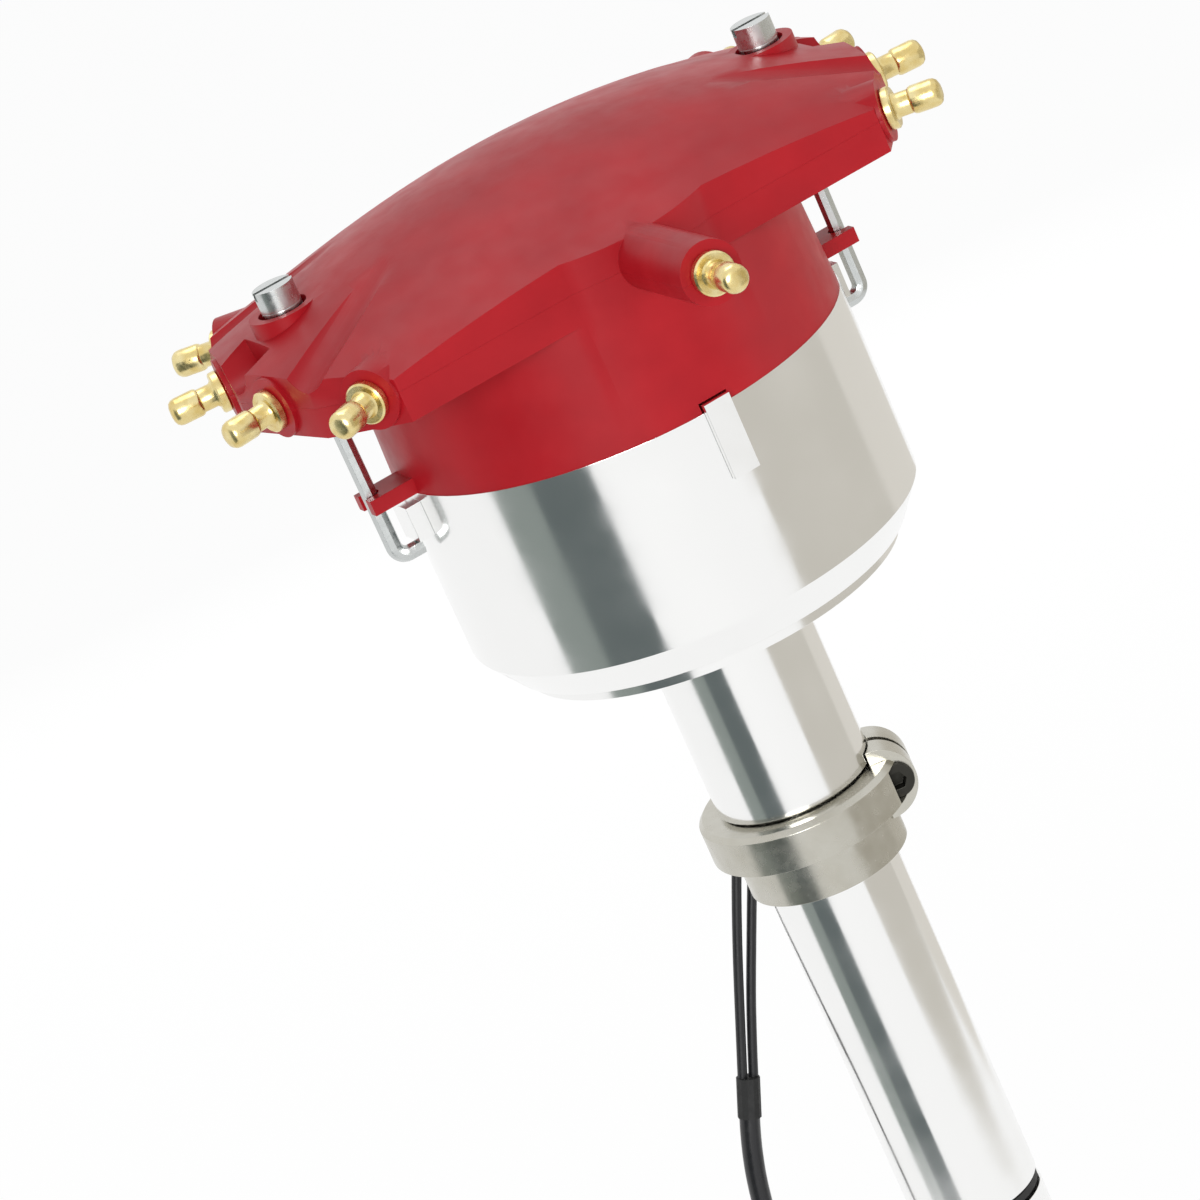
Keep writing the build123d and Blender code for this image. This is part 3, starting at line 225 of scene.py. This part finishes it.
def mottle(tree, shader, socket, low, high, size_mm, detail=3.0):
    """Soft variation of a value or colour between low and high, with blotches of a real size."""
    where = add(tree, "ShaderNodeTexCoord")
    noise = add(
        tree,
        "ShaderNodeTexNoise",
        {"Vector": where.outputs["Object"], "Scale": 1 / (size_mm * MM), "Detail": detail},
    )
    if isinstance(low, str):
        ramp = add(tree, "ShaderNodeValToRGB", {"Fac": noise.outputs[0]})
        ramp.color_ramp.elements[0].position = 0.3
        ramp.color_ramp.elements[0].color = colour(low)
        ramp.color_ramp.elements[1].position = 0.7
        ramp.color_ramp.elements[1].color = colour(high)
        tree.links.new(ramp.outputs[0], shader.inputs[socket])
    else:
        span = add(
            tree,
            "ShaderNodeMapRange",
            {"Value": noise.outputs[0], "From Min": 0.3, "From Max": 0.7, "To Min": low, "To Max": high},
        )
        tree.links.new(span.outputs[0], shader.inputs[socket])
    return noise


def relief(tree, shader, height, depth_mm, strength=1.0):
    """Bump from a pattern of a real depth."""
    bump = add(tree, "ShaderNodeBump", {"Height": height, "Distance": depth_mm * MM, "Strength": strength})
    tree.links.new(bump.outputs[0], shader.inputs["Normal"])


# flexible PVC, extruded: satin, faintly uneven along its length
wire_pvc, tree, shader = principled("black_pvc_wire_cover", "#141417", 0.38)
grain = mottle(tree, shader, "Roughness", 0.32, 0.48, 2.5)
relief(tree, shader, grain.outputs[0], 0.03)

wires = []
for letter, route in wire_routes.items():
    wire = lead_curve("wire_" + letter, route, wire_diameter)
    wire.data.materials.append(wire_pvc)
    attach(wire, "distributor_body")
    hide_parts("lead_wire_" + letter)
    wires.append(wire)

# heat-shrunk polyolefin sleeve: smooth, a little glossier than the wires
sleeve_skin, tree, shader = principled("black_shrink_sleeve", "#19191C", 0.3)
grain = mottle(tree, shader, "Roughness", 0.24, 0.4, 4)
relief(tree, shader, grain.outputs[0], 0.05)
sleeve = lead_curve("sleeve", sleeve_route, sleeve_diameter)
sleeve.data.materials.append(sleeve_skin)
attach(sleeve, "distributor_body")
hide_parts("lead_sleeve")


def paint(material, *names):
    """Gives CAD nodes their material."""
    for name in names:
        nodes[name].data.materials.clear()
        nodes[name].data.materials.append(material)


def merged_copy(name, node_name, flat_angle=0):
    """Active copy of a CAD solid with its doubles merged and, past flat_angle, its flats joined."""
    bpy.ops.object.select_all(action="DESELECT")
    piece = bpy.data.objects.new(name, nodes[node_name].data.copy())
    bpy.context.scene.collection.objects.link(piece)
    piece.select_set(True)
    bpy.context.view_layer.objects.active = piece
    bpy.ops.object.mode_set(mode="EDIT")
    bpy.ops.mesh.select_all(action="SELECT")
    bpy.ops.mesh.remove_doubles(threshold=0.000002)
    if flat_angle:
        bpy.ops.mesh.dissolve_limited(angle_limit=math.radians(flat_angle))
    bpy.ops.object.mode_set(mode="OBJECT")
    return piece


def dressed(name, node_name, body, edge_mm, material):
    """Copy of a CAD solid with its edges broken by a small radius and smooth shading."""
    piece = merged_copy(name, node_name, flat_angle=0.5)
    if edge_mm:
        bevel = piece.modifiers.new("broken_edges", "BEVEL")
        bevel.width = edge_mm * MM
        bevel.segments = 2
        bevel.limit_method = "ANGLE"
        bevel.angle_limit = math.radians(32)
        bevel.use_clamp_overlap = True
        bpy.ops.object.modifier_apply(modifier=bevel.name)
    bpy.ops.object.shade_smooth_by_angle(angle=math.radians(32))
    evened = piece.modifiers.new("face_weighted_normals", "WEIGHTED_NORMAL")
    evened.mode = "FACE_AREA"
    evened.weight = 50
    evened.keep_sharp = True
    bpy.ops.object.modifier_apply(modifier=evened.name)
    piece.data.materials.clear()
    piece.data.materials.append(material)
    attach(piece, body)
    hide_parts(node_name)
    return piece


# moulded rubber of the boot and the grommet, and the connector's glass-filled nylon
moulded_rubber, tree, shader = principled("moulded_black_rubber", "#161616", 0.62)
grain = mottle(tree, shader, "Roughness", 0.55, 0.72, 1.5)
relief(tree, shader, grain.outputs[0], 0.04)
black_nylon, tree, shader = principled("black_glass_filled_nylon", "#17181A", 0.5)
grain = mottle(tree, shader, "Roughness", 0.42, 0.6, 1.0)
relief(tree, shader, grain.outputs[0], 0.03)
paint(moulded_rubber, "lead_boot", "lead_grommet", "o_ring", "upper_bearing_seal")
paint(black_nylon, "lead_connector")

# ---------------------------------------------------------------------------------------
# Housing: bowl, neck and barrel turned from one aluminium billet and polished, so that it
# mirrors the studio in upright bands. Fine turning lines run round it.
# ---------------------------------------------------------------------------------------
polished, tree, shader = principled("polished_turned_aluminium", "#F5F5F4", 0.13, 1.0)
mottle(tree, shader, "Roughness", 0.10, 0.19, 14)
where = add(tree, "ShaderNodeTexCoord")
turning = add(
    tree,
    "ShaderNodeTexWave",
    {"Vector": where.outputs["Object"], "Scale": 1 / (1.6 * MM) / 20, "Distortion": 0.6, "Detail": 2},
    bands_direction="Z",
)
relief(tree, shader, turning.outputs["Fac"], 0.004, 0.25)
dressed("polished_housing", "housing", "distributor_body", 0.4, polished)

# ---------------------------------------------------------------------------------------
# Slip collar: machined from cast aluminium and buffed, a little softer in its shine than the
# housing. A socket-head screw of blackened steel pinches it on the barrel.
# ---------------------------------------------------------------------------------------
cast_aluminium, tree, shader = principled("machined_cast_aluminium", "#C1BFB5", 0.24, 1.0)
mottle(tree, shader, "Base Color", "#BCB9AE", "#C7C5BC", 9)
grain = mottle(tree, shader, "Roughness", 0.2, 0.3, 3.0)
relief(tree, shader, grain.outputs[0], 0.003)
dressed("clamp_collar", "slip_collar", "collar", 0.5, cast_aluminium)
black_oxide, tree, shader = principled("black_oxide_steel", "#3A3935", 0.4, 1.0)
mottle(tree, shader, "Roughness", 0.32, 0.5, 1.5)
dressed("pinch_screw", "collar_screw", "collar", 0.2, black_oxide)

# ---------------------------------------------------------------------------------------
# Cap: two mouldings of red glass-filled polyester. Satin skin with a faint flow mottle,
# rounded edges from the mould.
# ---------------------------------------------------------------------------------------
red_moulding, tree, shader = principled(
    "red_moulded_polyester", "#A6121D", 0.38, **{"Specular IOR Level": 0.24}
)
mottle(tree, shader, "Base Color", "#9F101B", "#AD1620", 18)
grain = mottle(tree, shader, "Roughness", 0.34, 0.44, 6)
relief(tree, shader, grain.outputs[0], 0.05)
dressed("lower_cap", "cap_base", "distributor_body", 0.6, red_moulding)
dressed("upper_cap", "cap_cover", "distributor_body", 0.9, red_moulding)

# ---------------------------------------------------------------------------------------
# Terminals: turned brass plugs, nine alike, pressed into the cap's towers.
# ---------------------------------------------------------------------------------------
brass, tree, shader = principled("turned_brass", "#E3CE8C", 0.24, 1.0)
mottle(tree, shader, "Base Color", "#D8BE78", "#EBDCA6", 3)
grain = mottle(tree, shader, "Roughness", 0.18, 0.34, 0.8)
relief(tree, shader, grain.outputs[0], 0.01)
terminal_height = 165.6
shank_r = 1.9
ring_r = 4.8
ring_width = 2.2
neck_r = 2.7
tip_r = 3.175
tip_length = 13.0


def turned(name, profile, sides=40):
    """Lathe-turned solid on the z axis: each step draws the last ring out to a new radius and height."""
    bpy.ops.object.select_all(action="DESELECT")
    radius, height = profile[0]
    bpy.ops.mesh.primitive_circle_add(
        vertices=sides, radius=radius * MM, fill_type="NGON", location=(0, 0, height * MM)
    )
    piece = bpy.context.object
    piece.name = name
    bpy.ops.object.transform_apply(location=True, rotation=True, scale=True)
    bpy.ops.object.mode_set(mode="EDIT")
    bpy.ops.mesh.select_all(action="SELECT")
    for next_radius, next_height in profile[1:]:
        bpy.ops.mesh.extrude_region_move(
            TRANSFORM_OT_translate={"value": (0, 0, (next_height - height) * MM), "orient_type": "GLOBAL"}
        )
        share = next_radius / radius
        bpy.ops.transform.resize(value=(share, share, 1), center_override=(0, 0, next_height * MM))
        radius, height = next_radius, next_height
    bpy.ops.mesh.select_all(action="SELECT")
    bpy.ops.mesh.normals_make_consistent(inside=False)
    bpy.ops.object.mode_set(mode="OBJECT")
    bpy.ops.object.shade_smooth_by_angle(angle=math.radians(40))
    return piece


def placed(piece, matrix):
    """Moves the finished mesh itself, so that the object stays at the origin."""
    piece.data.transform(matrix)
    piece.data.update()
    return piece


def terminal_profile(start, face):
    """Radius and reach of a plug terminal from its shank in the moulding to its rounded tip."""
    tip = face + tip_length
    return [
        (shank_r, start),
        (shank_r, face),
        (ring_r - 0.4, face),
        (ring_r, face + 0.4),
        (ring_r, face + ring_width - 0.4),
        (ring_r - 0.4, face + ring_width),
        (neck_r + 0.5, face + ring_width),
        (neck_r, face + ring_width + 0.6),
        (neck_r, tip - 7.2),
        (neck_r + 0.3, tip - 6.9),
        (tip_r, tip - 6.4),
        (tip_r, tip - 1.9),
        (tip_r * 0.94, tip - 1.1),
        (tip_r * 0.78, tip - 0.45),
        (tip_r * 0.5, tip - 0.1),
        (tip_r * 0.2, tip),
    ]


terminals = [(f"plug_terminal_{i + 1}", angle, 80.0, 60.0) for i, angle in enumerate(
    (-33.75, -11.25, 11.25, 33.75, 146.25, 168.75, 191.25, 213.75)
)]
terminals.append(("coil_terminal", -90, 84.0, 41.0))
lay_down = Matrix.Rotation(math.radians(90), 4, "Y")
for name, angle, face, start in terminals:
    terminal = turned("brass_" + name, terminal_profile(start, face))
    turn = Matrix.Rotation(math.radians(angle), 4, "Z")
    placed(terminal, Matrix.Translation((0, 0, terminal_height * MM)) @ turn @ lay_down)
    terminal.data.materials.append(brass)
    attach(terminal, "distributor_body")
    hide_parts(name)

paint(brass, "plug_strips", "coil_strip", "rotor_blade", "connector_pins")
paint(polished, "plug_electrodes")

# ---------------------------------------------------------------------------------------
# Latch screws: bright-plated steel rods with slotted heads and washers. Their springs, and
# the brush's, are wound of drawn wire.
# ---------------------------------------------------------------------------------------
zinc, tree, shader = principled("bright_zinc_steel", "#C9CCCB", 0.26, 1.0)
mottle(tree, shader, "Roughness", 0.2, 0.36, 2)
spring_steel, tree, shader = principled("drawn_spring_steel", "#8E9094", 0.3, 1.0)
mottle(tree, shader, "Roughness", 0.24, 0.4, 1.5)
for word in ("left", "right"):
    dressed("latch_" + word, "latch_rod_" + word, "latch_screw_" + word, 0.25, zinc)
    dressed("latch_ring_" + word, "latch_washer_" + word, "latch_" + word, 0.15, zinc)
paint(spring_steel, "advance_spring_a", "advance_spring_b", "weight_clips")


def coil_spring(name, node_name):
    """Smooth-shaded copy of a CAD coil spring in drawn spring steel, baked where it stands."""
    spring = merged_copy(name, node_name)
    bpy.ops.object.shade_smooth_by_angle(angle=math.radians(40))
    spring.data.materials.clear()
    spring.data.materials.append(spring_steel)
    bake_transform(spring)
    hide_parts(node_name)
    return spring


for word in ("left", "right"):
    coil_spring("latch_coil_" + word, "latch_spring_" + word)
coil_spring("brush_coil", "brush_spring")

# ---------------------------------------------------------------------------------------
# Shaft, bearings and drive gear: ground steel, oil-filled bronze and a blackened iron gear.
# ---------------------------------------------------------------------------------------
ground_steel, tree, shader = principled("ground_steel", "#B4B6B8", 0.28, 1.0)
mottle(tree, shader, "Roughness", 0.22, 0.36, 2)
bronze, tree, shader = principled("oil_filled_bronze", "#9C7647", 0.42, 1.0)
mottle(tree, shader, "Base Color", "#8D693E", "#A98252", 2)
mottle(tree, shader, "Roughness", 0.36, 0.52, 1.2)
gear_iron, tree, shader = principled("machined_gear_iron", "#6F7072", 0.36, 1.0)
mottle(tree, shader, "Base Color", "#626366", "#7B7C7E", 4)
grain = mottle(tree, shader, "Roughness", 0.3, 0.46, 1.5)
relief(tree, shader, grain.outputs[0], 0.03)
dressed("shaft_turned", "shaft", "shaft", 0.3, ground_steel)
dressed("gear", "drive_gear", "shaft", 0.25, gear_iron)
paint(ground_steel, "upper_bearing_outer", "upper_bearing_inner", "gear_pin", "advance_carrier",
      "advance_cam", "reluctor", "pickup_core")
paint(bronze, "lower_bushing", "thrust_washer")
paint(zinc, "advance_weight_a", "advance_weight_b", "rotor_screws", "pickup_plate", "pickup_screws")

# ---------------------------------------------------------------------------------------
# Rotor, brush and pickup inside the bowl and the cap.
# ---------------------------------------------------------------------------------------
rotor_red, tree, shader = principled("red_moulded_rotor", "#8F1424", 0.36)
mottle(tree, shader, "Roughness", 0.3, 0.44, 4)
carbon, tree, shader = principled("pressed_carbon", "#1B1B1C", 0.6)
mottle(tree, shader, "Roughness", 0.5, 0.7, 0.8)
coil_tape, tree, shader = principled("varnished_coil_tape", "#20180F", 0.35)
mottle(tree, shader, "Roughness", 0.28, 0.44, 1.5)
magnet_grey, tree, shader = principled("sintered_magnet", "#4A4A4C", 0.5, 0.6)
mottle(tree, shader, "Roughness", 0.42, 0.6, 1.5)
paint(rotor_red, "rotor_body")
paint(carbon, "carbon_brush")
paint(coil_tape, "pickup_coil")
paint(magnet_grey, "pickup_magnet")
